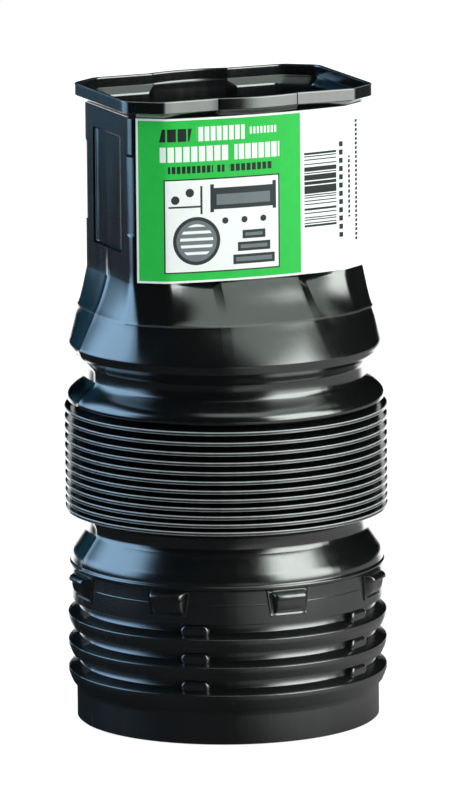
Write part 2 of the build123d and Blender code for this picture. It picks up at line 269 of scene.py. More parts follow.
# Sleeve, as height, corner rounding and share of the panel's depth. The corners are rounder
# between the two lines across the sleeve's waist.
sleeve = [(height, CORNER_ROUNDING, 0) for height in (SLEEVE_FOOT, 175.0, 180.6, 180.9)]
sleeve += [(181.3, CORNER_ROUNDING, 0.8)]
sleeve += [(height, CORNER_ROUNDING, 1.0) for height in (181.6, 181.9, 187.9, 188.2)]
sleeve += [(188.5, 5.0, 1.0), (188.7, 6.6, 1.0)]
sleeve += [(height, WAIST_ROUNDING, 1.0) for height in (189.0, 189.4, 198.0, 208.0, 217.6, 218.0)]
sleeve += [(218.3, 6.6, 1.0), (218.5, 5.0, 1.0)]
sleeve += [(height, CORNER_ROUNDING, 1.0) for height in (218.8, 219.1, 223.7, 224.0)]
sleeve += [(224.3, CORNER_ROUNDING, 0.8)]
sleeve += [(height, CORNER_ROUNDING, 0) for height in (224.7, 225.0, 229.0, 232.2, 232.6)]
for height, rounding, recess in sleeve:
    ridge = PARTING_RIDGE if height < RIDGE_END else 0.0
    skin.append((plan_loop(height, rounding=rounding, recess=recess * PANEL_DEPTH, ridge=ridge), 0.0))

# Rim: height, growth, inset, reach and crown of the bulge, corner rounding and share of painted highlight.
rim = ((232.85, 0.1, 0, 2.42, 1.32, 4.5, 0), (233.15, 0.4, 0, 2.5, 1.4, 4.7, 0),
       (234.6, 2.35, 0, 3.15, 2.0, 5.6, 0), (234.9, 2.8, 0, 3.32, 2.13, 5.9, 0.1),
       (235.15, 3.0, 0, 3.4, 2.2, 6.0, 0), (235.4, 3.0, 0, 3.4, 2.2, 6.0, 0),
       (237.3, 3.0, 0, 3.4, 2.2, 6.0, 0), (238.9, 3.0, 0, 3.4, 2.2, 6.0, 0),
       (239.15, 3.0, 0, 3.4, 2.2, 6.0, 0), (239.35, 2.9, 0.1, 3.4, 2.2, 6.0, 0.3),
       (239.48, 2.7, 0.3, 3.4, 2.2, 5.9, 0.25), (239.5, 2.35, 0.65, 3.4, 2.2, 5.8, 0),
       (239.5, 1.9, 1.1, 3.4, 2.2, 5.6, 0), (239.35, 1.6, 1.4, 3.4, 2.2, 5.4, 0.1),
       (239.1, 1.5, 1.5, 3.4, 2.2, 5.3, 0), (238.8, 1.5, 1.5, 3.4, 2.2, 5.3, 0),
       (236.0, 1.5, 1.5, 3.4, 2.2, 5.0, 0), (235.6, 1.5, 1.5, 3.4, 2.2, 5.0, 0),
       (235.25, 1.25, 1.5, 3.3, 2.15, 4.8, 0), (235.1, 1.1, 1.5, 2.72, 1.5, 4.7, 0),
       (233.2, -1.2, 1.5, 2.7, 1.5, 3.6, 0), (232.8, -1.45, 1.5, 2.68, 1.5, 3.5, 0),
       (232.2, -WALL, 1.5, 2.66, 1.48, 3.5, 0))
for height, grow, inset, reach, crown, rounding, highlight_share in rim:
    loop = plan_loop(height, grow=grow, inset=inset, reach=reach, crown=crown, rounding=rounding)
    skin.append((loop, highlight_share))

# Inside of the sleeve and the flare, a wall's thickness in from the outside.
for height, rounding, recess in ((225.9, 3.5, 0), (225.5, 3.5, 1), (218.5, 3.5, 1), (217.5, 6.0, 1),
                                 (189.0, 6.0, 1), (188.0, 3.5, 1), (180.2, 3.5, 1), (179.8, 3.5, 0)):
    loop = plan_loop(height, grow=-WALL, inset=WALL, rounding=rounding, recess=recess * PANEL_DEPTH)
    skin.append((loop, 0.0))
for share, share_x, share_y, channel in reversed(flare):
    height = CREASE_HEIGHT + (SLEEVE_FOOT - CREASE_HEIGHT) * share
    loop = plan_loop(height, share_x, share_y, CREASE_RADIUS - WALL, grow=-WALL, inset=WALL,
                     reach=CHANNEL_REACH * channel, crown=CHANNEL_CROWN * channel)
    skin.append((loop, 0.0))

# Inside of the round part, from the crease down to the skirt's edge.
INNER_ROOT_SHARE = 0.42
bore = [(57.1, 142.7, 0), (56.6, 141.6, 0.5), (51.0, 136.1, 4.5), (51.0, 129.0, 5.0), (57.9, 122.7, 1.5)]
bore += [(57.9, 121.9, 0.5)]
for crest, pitch in zip(reversed(crests), reversed(pitches)):
    bore += [(53.6, crest + pitch * INNER_ROOT_SHARE, 0), (58.1, crest, 0)]
bore += [(51.0, 77.0, 0), (51.0, 72.2, 5.0), (57.0, 61.6, 3.0), (56.8, 48.6, 0.5), (53.7, 47.1, 0.5)]
for fin in reversed(range(FIN_COUNT)):
    foot = FIN_FOOT + FIN_PITCH * fin
    bore += [(53.7, foot + 5.3, 0.3), (58.0, foot + 3.5, 0.3)]
    bore += [(56.9, foot + 1.8, 0.3), (53.7, foot + 1.05, 0.3)]
bore += [(53.8, 14.0, 0.5), (55.2, 11.5, 0.5), (55.2, 0.4, 0), (55.6, 0.0, 0)]
for radius, height in eased(bore, 2):
    skin.append((round_loop(radius, height), 0.0))


def piece_of(name, points, faces):
    """An object in the scene whose mesh has these points, in mm, and these faces."""
    mesh = bpy.data.meshes.new(name)
    mesh.from_pydata([(x * MM, y * MM, z * MM) for x, y, z in points], [], faces)
    piece = bpy.data.objects.new(name, mesh)
    bpy.context.scene.collection.objects.link(piece)
    return piece


def banded(around, rows, closed):
    """Faces between rows of points that go round. A closed run joins its last row to its first."""
    found = []
    for row in range(rows if closed else rows - 1):
        above = (row + 1) % rows
        for step in range(around):
            beside = (step + 1) % around
            found.append((row * around + step, row * around + beside,
                          above * around + beside, above * around + step))
    return found


body = piece_of("blown_body", [point for loop, highlight_share in skin for point in loop],
                banded(len(skin[0][0]), len(skin), True))
# Each loop's share of painted highlight, kept on the mesh for the material.
painted_highlight = body.data.attributes.new("painted_highlight", "FLOAT", "POINT")
painted_highlight.data.foreach_set("value", [highlight_share for loop, highlight_share in skin for point in loop])
body.data.shade_smooth()
body.data.set_sharp_from_angle(angle=math.radians(32))


# Black polyethylene: glossy above, duller on the collar, with the slight waves and fine upright
# draw lines that blowing leaves, a pale painted highlight along its crests and edges, and a thin film of
# dust.
CLEAN_PLASTIC = (0.0025, 0.0028, 0.003)
DUSTY_PLASTIC = (0.008, 0.009, 0.0095)
# Pale colour painted along the crests, rim edges and seam as highlight.
PAINTED_HIGHLIGHT_GREY = (0.50, 0.52, 0.51)


def reckon(tree, operation, *terms):
    """One Math node in a tree. Each term is a number or another node's output."""
    node = tree.nodes.new("ShaderNodeMath")
    node.operation = operation
    for number, term in enumerate(terms):
        if isinstance(term, (int, float)):
            node.inputs[number].default_value = term
        else:
            tree.links.new(term, node.inputs[number])
    return node.outputs["Value"]


def graded(tree, value, start, stop, low, high, curve="LINEAR"):
    """A value that runs from low to high while another one runs from start to stop."""
    node = tree.nodes.new("ShaderNodeMapRange")
    node.interpolation_type = curve
    for name, number in (("From Min", start), ("From Max", stop), ("To Min", low), ("To Max", high)):
        node.inputs[name].default_value = number
    tree.links.new(value, node.inputs["Value"])
    return node.outputs["Result"]


def clouded(tree, place, scale, detail):
    """Noise from 0 to 1 over a place."""
    node = tree.nodes.new("ShaderNodeTexNoise")
    node.inputs["Scale"].default_value = scale
    node.inputs["Detail"].default_value = detail
    tree.links.new(place, node.inputs["Vector"])
    return node.outputs["Fac"]


def roughened(tree, height, strength, distance, under=None):
    """The normal of a surface that a height raises, over one that is raised already."""
    node = tree.nodes.new("ShaderNodeBump")
    node.inputs["Strength"].default_value = strength
    node.inputs["Distance"].default_value = distance
    tree.links.new(height, node.inputs["Height"])
    if under is not None:
        tree.links.new(under, node.inputs["Normal"])
    return node.outputs["Normal"]


def lay(tree, under, over, mask):
    """Lays a colour over what is under it, as far as the mask says."""
    mix = tree.nodes.new("ShaderNodeMix")
    mix.data_type = "RGBA"
    for name, value in (("A", under), ("B", over)):
        if isinstance(value, tuple):
            mix.inputs[name].default_value = (*value, 1.0)
        else:
            tree.links.new(value, mix.inputs[name])
    tree.links.new(mask, mix.inputs["Factor"])
    return mix.outputs["Result"]


plastic = bpy.data.materials.new("black_polyethylene")
plastic.use_nodes = True
tree = plastic.node_tree
shader = tree.nodes["Principled BSDF"]
shader.inputs["IOR"].default_value = 1.8
shader.inputs["Specular IOR Level"].default_value = 1.0
place = tree.nodes.new("ShaderNodeTexCoord").outputs["Object"]
stretch = tree.nodes.new("ShaderNodeMapping")
stretch.inputs["Scale"].default_value = (420.0, 420.0, 26.0)
tree.links.new(place, stretch.inputs["Vector"])
waves = clouded(tree, place, scale=38.0, detail=1.5)
draw_lines = clouded(tree, stretch.outputs["Vector"], scale=1.0, detail=3.0)
grain = clouded(tree, place, scale=1400.0, detail=2.0)
wavy = roughened(tree, waves, strength=0.3, distance=0.0008)
lined = roughened(tree, draw_lines, strength=0.12, distance=0.0001, under=wavy)
grainy = roughened(tree, grain, strength=0.1, distance=0.00005, under=lined)
tree.links.new(grainy, shader.inputs["Normal"])
# The share of painted highlight: pale colour on the crests, rim edges and seam, with a rougher surface there.
highlight_input = tree.nodes.new("ShaderNodeAttribute")
highlight_input.attribute_name = "painted_highlight"
split = tree.nodes.new("ShaderNodeSeparateXYZ")
tree.links.new(place, split.inputs["Vector"])
by_height = graded(tree, split.outputs["Z"], start=0.058, stop=0.064, low=0.20, high=0.12)
uneven = reckon(tree, "MULTIPLY_ADD", draw_lines, 0.10, by_height)
rougher_at_highlight = reckon(tree, "MULTIPLY_ADD", highlight_input.outputs["Fac"], 0.3, uneven)
tree.links.new(rougher_at_highlight, shader.inputs["Roughness"])
dusted = lay(tree, CLEAN_PLASTIC, DUSTY_PLASTIC, waves)
# The pale painted highlight, broken up a little along the draw lines.
patchy = graded(tree, draw_lines, start=0.3, stop=0.6, low=0.75, high=1.0)
highlight_mask = reckon(tree, "MULTIPLY", highlight_input.outputs["Fac"], patchy)
tree.links.new(lay(tree, dusted, PAINTED_HIGHLIGHT_GREY, highlight_mask), shader.inputs["Base Color"])
body.data.materials.append(plastic)
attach(body, "root")
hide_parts("adapter_body")

# The snap lugs: eight hollow bumps blown in the collar's wall, which catch behind the lip of the
# drain pipe's bell. Each has a flat ledge above, a rounded face, a ramp below and a low frame. The
# profile gives how far out it reaches at each height.
COLLAR_RADIUS = 58.3
LUG_COUNT = 8
LUG_FOOT = 48.0
LUG_FOOT_HALF = 7.1
LUG_WIDENING = 0.16
LUG_SINK = 0.5
FRAME_SHARE = 0.1
FRAME_REACH = 3.5
lug_profile = [(-LUG_SINK, 48.3), (0.15, 48.5), (0.25, 48.75), (0.15, 49.0), (0.03, 49.4), (1.2, 50.4)]
lug_profile += [(1.9, 51.6), (2.3, 53.0), (2.45, 54.4), (2.55, 54.7), (3.2, 55.0), (3.5, 55.35), (3.57, 55.8)]
lug_profile += [(3.35, 56.4), (2.95, 56.9), (2.3, 57.25), (1.4, 57.45), (0.3, 57.5), (0.05, 57.6)]
lug_profile += [(0.1, 57.75), (0.25, 57.9), (0.2, 58.05), (-LUG_SINK, 58.15)]

# Across a lug, as a share of its half width and of the profile's reach. Shares of the reach
# under FRAME_SHARE are the low frame's, which doesn't follow the profile.
lug_across = [(-1.0, -0.3), (-0.98, 0.05), (-0.94, 0.07), (-0.9, 0.05), (-0.87, 0.012), (-0.82, 0.012)]
lug_across += [(-0.77, 0.5), (-0.73, 0.8), (-0.68, 0.95), (-0.62, 1.0), (-0.2, 1.0)]
lug_across += [(-sideways, share) for sideways, share in reversed(lug_across)]
lug_points = []
for reach, height in lug_profile:
    half_width = LUG_FOOT_HALF + (height - LUG_FOOT) * LUG_WIDENING
    for sideways, share in lug_across:
        low = max(share * FRAME_REACH, -LUG_SINK)
        out = min(reach, low if share < FRAME_SHARE else reach * share)
        lug_points.append((COLLAR_RADIUS + out, sideways * half_width, height))
columns = len(lug_across)
rows = len(lug_profile)
lug_faces = []
for row in range(rows - 1):
    for column in range(columns - 1):
        start = row * columns + column
        lug_faces.append((start, start + 1, start + 1 + columns, start + columns))
lug_edge = list(range(columns))
lug_edge += [row * columns + columns - 1 for row in range(1, rows)]
lug_edge += [(rows - 1) * columns + column for column in reversed(range(columns - 1))]
lug_edge += [row * columns for row in reversed(range(1, rows - 1))]
rear = len(lug_points)
lug_points += [(COLLAR_RADIUS - 1.0, lug_points[index][1], lug_points[index][2]) for index in lug_edge]
for step, index in enumerate(lug_edge):
    after = (step + 1) % len(lug_edge)
    lug_faces.append((lug_edge[after], index, rear + step, rear + after))
lug_faces.append(tuple(rear + step for step in reversed(range(len(lug_edge)))))
lugs = piece_of("snap_lugs", lug_points, lug_faces)


def repeat_round(name):
    """A tree that turns copies of a piece round the Z axis, one level of copies above another.

    With a pair angle they stand in pairs either side of +Y and -Y, and without one evenly.
    """
    tree = bpy.data.node_groups.new(name, "GeometryNodeTree")
    for title, kind in (("Geometry", "Geometry"), ("Copies", "Int"), ("Copies per level", "Int"),
                        ("Pair angle", "Float"), ("Level pitch", "Float"), ("Material", "Material")):
        tree.interface.new_socket(title, in_out="INPUT", socket_type="NodeSocket" + kind)
    tree.interface.new_socket("Geometry", in_out="OUTPUT", socket_type="NodeSocketGeometry")
    entry = tree.nodes.new("NodeGroupInput")
    leave = tree.nodes.new("NodeGroupOutput")
    per_level = entry.outputs["Copies per level"]
    pair_angle = entry.outputs["Pair angle"]

    spots = tree.nodes.new("GeometryNodePoints")
    tree.links.new(entry.outputs["Copies"], spots.inputs["Count"])
    number = tree.nodes.new("GeometryNodeInputIndex").outputs["Index"]
    level = reckon(tree, "FLOOR", reckon(tree, "DIVIDE", number, per_level))
    in_level = reckon(tree, "MODULO", number, per_level)
    even = reckon(tree, "DIVIDE", reckon(tree, "MULTIPLY", in_level, 2 * math.pi), per_level)
    side = reckon(tree, "FLOOR", reckon(tree, "DIVIDE", in_level, 2.0))
    left_or_right = reckon(tree, "MULTIPLY", reckon(tree, "MODULO", in_level, 2.0), 2.0)
    off_middle = reckon(tree, "MULTIPLY", reckon(tree, "SUBTRACT", left_or_right, 1.0), pair_angle)
    middle = reckon(tree, "ADD", reckon(tree, "MULTIPLY", side, math.pi), math.pi / 2)
    paired = reckon(tree, "ADD", middle, off_middle)
    is_paired = reckon(tree, "GREATER_THAN", pair_angle, 0.0)
    is_even = reckon(tree, "SUBTRACT", 1.0, is_paired)
    turn_by = reckon(tree, "ADD", reckon(tree, "MULTIPLY", is_paired, paired),
                     reckon(tree, "MULTIPLY", is_even, even))

    rise = tree.nodes.new("ShaderNodeCombineXYZ")
    tree.links.new(reckon(tree, "MULTIPLY", level, entry.outputs["Level pitch"]), rise.inputs["Z"])
    lift = tree.nodes.new("GeometryNodeSetPosition")
    tree.links.new(spots.outputs["Geometry"], lift.inputs["Geometry"])
    tree.links.new(rise.outputs["Vector"], lift.inputs["Offset"])
    spin = tree.nodes.new("ShaderNodeCombineXYZ")
    tree.links.new(turn_by, spin.inputs["Z"])
    copies = tree.nodes.new("GeometryNodeInstanceOnPoints")
    tree.links.new(lift.outputs["Geometry"], copies.inputs["Points"])
    tree.links.new(entry.outputs["Geometry"], copies.inputs["Instance"])
    tree.links.new(spin.outputs["Vector"], copies.inputs["Rotation"])
    real = tree.nodes.new("GeometryNodeRealizeInstances")
    tree.links.new(copies.outputs["Instances"], real.inputs["Geometry"])
    dress = tree.nodes.new("GeometryNodeSetMaterial")
    tree.links.new(real.outputs["Geometry"], dress.inputs["Geometry"])
    tree.links.new(entry.outputs["Material"], dress.inputs["Material"])
    tree.links.new(dress.outputs["Geometry"], leave.inputs["Geometry"])
    return tree


def set_round(piece, tree, values):
    """Gives a piece the tree with its own values, then turns the result into a plain mesh."""
    modifier = piece.modifiers.new("copies", "NODES")
    modifier.node_group = tree
    for item in tree.interface.items_tree:
        if item.in_out == "INPUT" and item.name in values:
            modifier[item.identifier] = values[item.name]
    graph = bpy.context.evaluated_depsgraph_get()
    result = bpy.data.meshes.new_from_object(piece.evaluated_get(graph))
    result.name = piece.name
    piece.modifiers.clear()
    piece.data = result
    result.shade_smooth()
    result.set_sharp_from_angle(angle=math.radians(38))


copies_round = repeat_round("copies_round_the_collar")
set_round(lugs, copies_round, {"Copies": LUG_COUNT, "Copies per level": LUG_COUNT, "Pair angle": 0.0,
                               "Level pitch": 0.0, "Material": plastic})
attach(lugs, "root")

# The pads: short blown lozenges that bridge each groove between the fins, in pairs either side
# of the mould's middle, which keep the fins from folding flat. They are of the body's plastic.
PAD_MIDDLE = FIN_FOOT + 7.95
PAD_HALF = 5.3
PAD_TALL = 2.25
PAD_ANGLE = 35.0
PADS_PER_GROOVE = 4
pad_steps = ((54.4, 0.0), (57.0, 0.0), (57.6, 0.12), (58.0, 0.45), (58.2, 0.95), (58.25, 1.5))
pad_points = []
for reach, shrink in pad_steps:
    half_circle = arc((0.0, 0.0), PAD_TALL - shrink, -90.0, 90.0, 8)
    outline = [(PAD_HALF - PAD_TALL + y, z) for y, z in half_circle]
    outline += [(-y, -z) for y, z in outline]
    pad_points += [(reach, y, PAD_MIDDLE + z) for y, z in outline]
around = len(outline)
pad_faces = banded(around, len(pad_steps), False)
pad_faces.append(tuple(range(len(pad_points) - around, len(pad_points))))
pad_faces.append(tuple(reversed(range(around))))
pads = piece_of("groove_pads", pad_points, pad_faces)
set_round(pads, copies_round, {"Copies": PADS_PER_GROOVE * FIN_COUNT, "Copies per level": PADS_PER_GROOVE,
                               "Pair angle": math.radians(PAD_ANGLE), "Level pitch": FIN_PITCH * MM,
                               "Material": plastic})
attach(pads, "root")

# The label: one sheet of white paper printed in green and black, coated, and stuck round the
# front of the sleeve. It is drawn over the crest of the channel and folds back over both facets.
LABEL_FOOT = 171.2
LABEL_HEIGHT = 61.5
LABEL_LEFT = 45.0
LABEL_RIGHT = 46.4
LABEL_STAND = 0.12
LABEL_FOLD = 9.0
PAPER = 0.22
BUCKLE = 0.05
UV_PER_MM = 0.01
BOW_STEPS = 24
WHITE_STOCK = ((0.84, 0.86, 0.85), (0.90, 0.91, 0.90))
GREEN_INK = ((0.018, 0.49, 0.06), (0.030, 0.55, 0.08))
DARK_GREY_INK = (0.035, 0.040, 0.045)
GREY_INK = (0.16, 0.185, 0.20)
BLACK_INK = (0.02, 0.022, 0.024)
crest_y = HALF_WIDTH + CHANNEL_REACH + CHANNEL_CROWN
fold_x = HALF_LENGTH - FACET_LENGTH
rise_y = crest_y - HALF_WIDTH
bow_radius = (fold_x * fold_x + rise_y * rise_y) / (2 * rise_y)
bow_angle = math.degrees(math.asin(fold_x / bow_radius))
facet_fall = FACET_WIDTH / FACET_LENGTH
front = [(-LABEL_LEFT, HALF_WIDTH - (LABEL_LEFT - fold_x) * facet_fall, 0), (-fold_x, HALF_WIDTH, LABEL_FOLD)]
for step in range(1, BOW_STEPS):
    angle = math.radians(-bow_angle + 2 * bow_angle * step / BOW_STEPS)
    front.append((bow_radius * math.sin(angle), crest_y - bow_radius + bow_radius * math.cos(angle), 0))
front += [(fold_x, HALF_WIDTH, LABEL_FOLD)]
front += [(LABEL_RIGHT, HALF_WIDTH - (LABEL_RIGHT - fold_x) * facet_fall, 0)]
path = [Vector((x, -y)) for x, y in eased(front, 6)]
lengths = [0.0]
for before, after in zip(path, path[1:]):
    lengths.append(lengths[-1] + (after - before).length)
label_length = lengths[-1]


def label_point(along, up, stand):
    """A point on the label: mm along its path, mm up from its foot and mm off the body."""
    index = max(i for i in range(len(path) - 1) if lengths[i] <= along or i == 0)
    run = path[index + 1] - path[index]
    share = (along - lengths[index]) / run.length
    before = path[max(index - 1, 0)]
    after = path[min(index + 2, len(path) - 1)]
    tangent = (after - before).normalized()
    outward = Vector((tangent.y, -tangent.x))
    spot = path[index] + run * share + outward * stand
    return (spot.x, spot.y, LABEL_FOOT + up)


columns = 98
rows = 24
sheet_points = []
sheet_marks = []
for stand in (LABEL_STAND + PAPER, LABEL_STAND):
    for row in range(rows + 1):
        for column in range(columns + 1):
            along = label_length * column / columns
            up = LABEL_HEIGHT * row / rows
            buckle = BUCKLE * math.sin(along * 0.55 + up * 0.21) * math.sin(up * 0.33 + 1.0)
            sheet_points.append(label_point(along, up, stand + buckle))
            sheet_marks.append((along * UV_PER_MM, up * UV_PER_MM))
per_side = (rows + 1) * (columns + 1)
sheet_faces = []
for row in range(rows):
    for column in range(columns):
        a = row * (columns + 1) + column
        b = a + 1
        c = b + columns + 1
        d = a + columns + 1
        sheet_faces.append((a, b, c, d))
        sheet_faces.append((per_side + d, per_side + c, per_side + b, per_side + a))
sheet_edge = [(0, column) for column in range(columns)]
sheet_edge += [(row, columns) for row in range(rows)]
sheet_edge += [(rows, columns - column) for column in range(columns)]
sheet_edge += [(rows - row, 0) for row in range(rows)]
sheet_edge = [row * (columns + 1) + column for row, column in sheet_edge]
for a, b in zip(sheet_edge, sheet_edge[1:] + sheet_edge[:1]):
    sheet_faces.append((b, a, per_side + a, per_side + b))
label = piece_of("paper_label", sheet_points, sheet_faces)
sheet_map = label.data.uv_layers.new(name="print_mm")
for corner in label.data.loops:
    sheet_map.data[corner.index].uv = sheet_marks[corner.vertex_index]
label.data.shade_smooth()
label.data.set_sharp_from_angle(angle=math.radians(40))

paper = bpy.data.materials.new("printed_label")
paper.use_nodes = True
print_tree = paper.node_tree
shader = print_tree.nodes["Principled BSDF"]
shader.inputs["IOR"].default_value = 1.46
shader.inputs["Specular IOR Level"].default_value = 0.25
marks = print_tree.nodes.new("ShaderNodeUVMap")
marks.uv_map = "print_mm"
spread = print_tree.nodes.new("ShaderNodeVectorMath")
spread.operation = "SCALE"
spread.inputs["Scale"].default_value = 1.0 / UV_PER_MM
print_tree.links.new(marks.outputs["UV"], spread.inputs[0])
axes = print_tree.nodes.new("ShaderNodeSeparateXYZ")
print_tree.links.new(spread.outputs["Vector"], axes.inputs["Vector"])
ALONG = axes.outputs["X"]
UP = axes.outputs["Y"]


def work(operation, *terms):
    """One Math node of the label's print."""
    return reckon(print_tree, operation, *terms)


def between(value, low, high):
    """A mask of where a value lies between two numbers."""
    off_middle = work("ABSOLUTE", work("SUBTRACT", value, (low + high) / 2))
    return work("LESS_THAN", off_middle, (high - low) / 2)


def block(left, right, low, high, lean=0.0):
    """A mask of one rectangle in mm on the label. lean moves its top to the right."""
    along = work("SUBTRACT", ALONG, work("MULTIPLY", work("SUBTRACT", UP, low), lean)) if lean else ALONG
    return work("MULTIPLY", between(along, left, right), between(UP, low, high))


def cut(mask, direction, pitch, share):
    """A mask cut into short bars along a direction, each taking a share of the pitch."""
    return work("MULTIPLY", mask, work("LESS_THAN", work("FRACT", work("DIVIDE", direction, pitch)), share))


def either(*masks):
    """The area that any of the masks covers."""
    total = masks[0]
    for mask in masks[1:]:
        total = work("MAXIMUM", total, mask)
    return total


def without(mask, other):
    """The area of one mask that another doesn't cover."""
    return work("MULTIPLY", mask, work("SUBTRACT", 1.0, other))


def disc(x, y, radius):
    """A mask of a filled circle in mm on the label."""
    dx = work("SUBTRACT", ALONG, x)
    dy = work("SUBTRACT", UP, y)
    reach = work("SQRT", work("ADD", work("MULTIPLY", dx, dx), work("MULTIPLY", dy, dy)))
    return work("LESS_THAN", reach, radius)


# Fields of green and white, and rows of short bars in place of words.
MARGIN = 0.8
green_area = block(MARGIN, 63.9, MARGIN, LABEL_HEIGHT - MARGIN)
panel = block(10.3, 55.1, 3.6, 38.8)
panel_inner = block(10.8, 54.6, 4.1, 38.3)
pale_words = either(cut(block(22.9, 41.4, 52.7, 58.1), ALONG, 2.35, 0.76),
                    cut(block(43.0, 54.0, 54.4, 57.0), ALONG, 1.4, 0.6),
                    cut(block(9.0, 35.4, 45.2, 50.9), ALONG, 2.95, 0.8),
                    cut(block(37.3, 55.2, 45.2, 50.9), ALONG, 2.6, 0.8))
dark_words = either(cut(block(8.8, 20.0, 52.8, 57.6, 0.22), ALONG, 3.9, 0.84),
                    cut(block(11.9, 29.0, 40.9, 43.6), ALONG, 1.9, 0.72),
                    cut(block(30.5, 33.4, 40.9, 43.6), ALONG, 1.7, 0.72),
                    cut(block(35.0, 52.4, 40.9, 43.6), ALONG, 2.1, 0.74))

# Upright stack of stripes of random heights, with a column of small marks and two of short bars.
stripe_noise = print_tree.nodes.new("ShaderNodeTexWhiteNoise")
stripe_noise.noise_dimensions = "1D"
print_tree.links.new(work("FLOOR", work("MULTIPLY", UP, 2.4)), stripe_noise.inputs["W"])
is_stripe = work("GREATER_THAN", stripe_noise.outputs["Value"], 0.42)
stripes = work("MULTIPLY", block(65.5, 79.4, 16.2, 46.7), is_stripe)
side_marks = cut(block(80.6, 82.3, 12.5, 48.5), UP, 3.1, 0.62)
column_marks = either(cut(block(85.2, 86.6, 19.5, 42.5), UP, 1.9, 0.66),
                      cut(block(90.2, 91.7, 9.5, 55.5), UP, 1.7, 0.66))

# Picture panel: a round drain grate, a length of gutter, a stack of plates, drops and a post.
grate = disc(22.5, 15.5, 9.0)
grate_face = disc(22.5, 15.5, 7.7)
grate_slots = cut(disc(22.5, 15.5, 6.3), UP, 2.6, 0.42)
gutter = block(29.0, 52.5, 27.0, 35.0)
gutter_face = block(30.2, 51.3, 28.6, 32.6)
gutter_ends = either(block(27.8, 29.2, 26.0, 36.4), block(52.3, 53.7, 26.0, 36.4))
plates = either(block(36.5, 53.0, 6.0, 9.6), block(38.3, 51.2, 10.8, 14.2), block(40.2, 49.3, 15.4, 18.6))
plate_faces = either(block(37.6, 51.9, 7.0, 8.6), block(39.4, 50.1, 11.8, 13.2),
                     block(41.3, 48.2, 16.4, 17.6))
small_drops = either(disc(33.5, 22.6, 1.2), disc(41.0, 22.6, 1.2), disc(48.5, 22.6, 1.2))
drops = either(small_drops, disc(14.5, 31.0, 1.6), disc(20.0, 33.6, 1.6))
post = either(block(24.0, 24.8, 25.5, 36.0), block(12.0, 24.8, 28.0, 28.7))
dark_shapes = either(without(grate, grate_slots), gutter, gutter_ends, plates, drops, post)
grey_shapes = either(without(grate_face, grate_slots), gutter_face, plate_faces)
dark_print = either(dark_words, without(panel, panel_inner), stripes, side_marks, column_marks)
green_print = without(green_area, either(pale_words, panel))

where = print_tree.nodes.new("ShaderNodeTexCoord")
fibres = clouded(print_tree, where.outputs["Object"], scale=260.0, detail=4.0)
stock = lay(print_tree, *WHITE_STOCK, fibres)
green = lay(print_tree, *GREEN_INK, fibres)
colour = lay(print_tree, stock, green, green_print)
colour = lay(print_tree, colour, DARK_GREY_INK, work("MULTIPLY", panel_inner, dark_shapes))
colour = lay(print_tree, colour, GREY_INK, work("MULTIPLY", panel_inner, grey_shapes))
colour = lay(print_tree, colour, BLACK_INK, dark_print)
print_tree.links.new(colour, shader.inputs["Base Color"])
dullness = work("ADD", work("MULTIPLY", fibres, 0.12), 0.36)
print_tree.links.new(dullness, shader.inputs["Roughness"])
fibrous = roughened(print_tree, fibres, strength=0.08, distance=0.0001)
print_tree.links.new(fibrous, shader.inputs["Normal"])
label.data.materials.append(paper)
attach(label, "root")
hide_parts("label_paper", "label_green", "label_dark_print")

# The camera: a very long lens a little above the middle of the part, to the left of its front.
# It was fitted to the photograph. The part's own axis lies a little off the picture's middle.
METRES_PER_PIXEL = 0.000374
PICTURE_MIDDLE = (227.0, 400.0)
AIM_IN_PICTURE = (225.7, 398.5)
CAMERA_DISTANCE = 3.74
scene = bpy.context.scene
camera_data = bpy.data.cameras.new("camera")
camera = bpy.data.objects.new("camera", camera_data)
scene.collection.objects.link(camera)
camera_data.sensor_width = 36.0
camera_data.lens = 450.0
camera_data.clip_end = 20.0
swing = math.radians(-22.75)
tilt = math.radians(10.7)
roll = math.radians(0.5)
back = Vector((math.sin(swing) * math.cos(tilt), -math.cos(swing) * math.cos(tilt), math.sin(tilt)))
aim = Vector((0.0, 0.0, 0.120))
camera.rotation_mode = "QUATERNION"
camera.location = aim + back * CAMERA_DISTANCE
camera.rotation_quaternion = (-back).to_track_quat("-Z", "Y")
camera_right = Vector((math.cos(swing), math.sin(swing), 0.0))
camera_up = back.cross(camera_right)
camera.location += camera_right * (PICTURE_MIDDLE[0] - AIM_IN_PICTURE[0]) * METRES_PER_PIXEL
camera.location -= camera_up * (PICTURE_MIDDLE[1] - AIM_IN_PICTURE[1]) * METRES_PER_PIXEL
camera.rotation_quaternion = Quaternion(back, -roll) @ camera.rotation_quaternion
scene.camera = camera

# The floor: a round white table top that the part stands on. The camera sees it white. Mirrored,
# it is bright straight behind the part, dim to the part's right and dark elsewhere, so that
# upright walls stay black and the low edges fade to white. Each glow is the strength there.
TABLE_RADIUS = 1200.0
TABLE_BACK = 600.0
TABLE_DROP = 0.4
GLOW_BEHIND = 2.6
GLOW_RIGHT = 0.33
GLOW_ELSEWHERE = 0.01
SEEN_GLOW_NEAR = 1.5
SEEN_GLOW_FAR = 1.75
SEEN_SHARE = 0.6
MIRRORED_SHARE = 0.98
behind = Vector((-math.sin(swing), math.cos(swing), 0.0))
table_points = []
for angle in range(0, 360, 5):
    outward = Vector((math.cos(math.radians(angle)), math.sin(math.radians(angle)), 0.0))
    spot = behind * TABLE_BACK + outward * TABLE_RADIUS
    table_points.append((spot.x, spot.y, -TABLE_DROP))
table_top = piece_of("table_top", table_points, [tuple(range(len(table_points)))])
white = bpy.data.materials.new("white_table")
white.use_nodes = True
tree = white.node_tree
shader = tree.nodes["Principled BSDF"]
shader.inputs["Base Color"].default_value = (0.9, 0.9, 0.9, 1.0)
shader.inputs["Roughness"].default_value = 0.9
shader.inputs["Specular IOR Level"].default_value = 0.1
ray = tree.nodes.new("ShaderNodeLightPath").outputs
